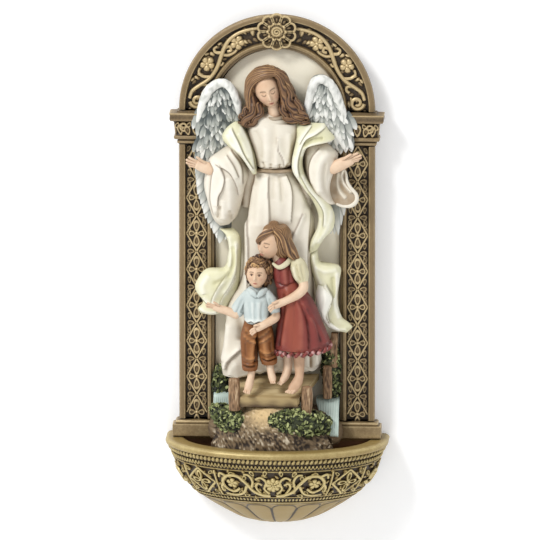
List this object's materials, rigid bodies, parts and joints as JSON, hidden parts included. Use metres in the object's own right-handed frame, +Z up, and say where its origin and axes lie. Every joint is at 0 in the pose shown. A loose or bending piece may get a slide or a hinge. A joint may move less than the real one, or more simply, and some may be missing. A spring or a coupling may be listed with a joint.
{
  "type": "holy water stoup",
  "caption": "Wall-hung holy water stoup: half-round bowl under an arched niche frame with a guardian angel over two children on a bridge.",
  "frame": {"origin": "on the rear face of the backboard (the wall plane), on the centre line, level with the crest of the bowl's rim", "axes": "+X to the viewer's right, +Z up, +Y into the wall, so the front faces -Y"},
  "size_m": [0.0816, 0.0355, 0.1926],
  "materials": {
    "steel": "plated sheet steel",
    "antique_gold": "cast stone resin, dark wash with gold dry brushing",
    "niche_cream": "cast stone resin, matt cream paint",
    "timber_paint": "cast stone resin, painted as weathered planks",
    "rock_paint": "cast stone resin, painted as rock with pale dry brushing",
    "water_paint": "cast stone resin, painted as running water",
    "leaf_paint": "cast stone resin, painted as foliage",
    "wing_paint": "cast stone resin, white with blue-grey wash",
    "gown_paint": "cast stone resin, white with warm wash in the folds",
    "mantle_paint": "cast stone resin, pale yellow-green",
    "skin_paint": "cast stone resin, flesh paint",
    "hair_paint": "cast stone resin, brown with lighter strands",
    "dress_paint": "cast stone resin, dull red",
    "blouse_paint": "cast stone resin, cream",
    "shirt_paint": "cast stone resin, pale blue",
    "breeches_paint": "cast stone resin, orange-brown"
  },
  "bodies": {
    "root": {"hanger_screw_left": "steel", "hanger_screw_right": "steel", "hanger_plate": "steel", "backboard": "antique_gold", "niche_panel": "niche_cream", "left_lattice": "antique_gold", "left_pilaster": "antique_gold", "left_capital": "antique_gold", "left_plinth": "antique_gold", "right_lattice": "antique_gold", "right_pilaster": "antique_gold", "right_capital": "antique_gold", "right_plinth": "antique_gold", "arch_moulding": "antique_gold", "arch_rosette": "antique_gold", "bowl": "antique_gold", "bridge_deck": "timber_paint", "bridge_left_post": "timber_paint", "bridge_right_post": "timber_paint", "bridge_far_post": "timber_paint", "rail_post": "timber_paint", "rockery": "rock_paint", "left_stream": "water_paint", "right_stream": "water_paint", "left_bush": "leaf_paint", "right_bush": "leaf_paint", "bank_bush_left": "leaf_paint", "bank_bush_right": "leaf_paint", "left_wing": "wing_paint", "right_wing": "wing_paint", "angel_gown": "gown_paint", "angel_bodice": "gown_paint", "angel_sash": "gown_paint", "angel_head": "skin_paint", "angel_hair": "hair_paint", "angel_left_sleeve": "gown_paint", "angel_right_sleeve": "gown_paint", "angel_left_hand": "skin_paint", "angel_right_hand": "skin_paint", "mantle_left_shoulder": "mantle_paint", "mantle_left_tail": "mantle_paint", "mantle_right": "mantle_paint", "mantle_right_tail": "mantle_paint", "girl_skirt": "dress_paint", "girl_bodice": "dress_paint", "girl_head": "skin_paint", "girl_hair": "hair_paint", "girl_collar": "blouse_paint", "girl_sleeve": "blouse_paint", "girl_arm": "skin_paint", "girl_front_leg": "skin_paint", "girl_back_leg": "skin_paint", "boy_breeches": "breeches_paint", "boy_shirt": "shirt_paint", "boy_right_arm": "skin_paint", "boy_left_arm": "skin_paint", "boy_head": "skin_paint", "boy_hair": "hair_paint", "boy_left_leg": "skin_paint", "boy_right_leg": "skin_paint"}
  },
  "joints": []
}
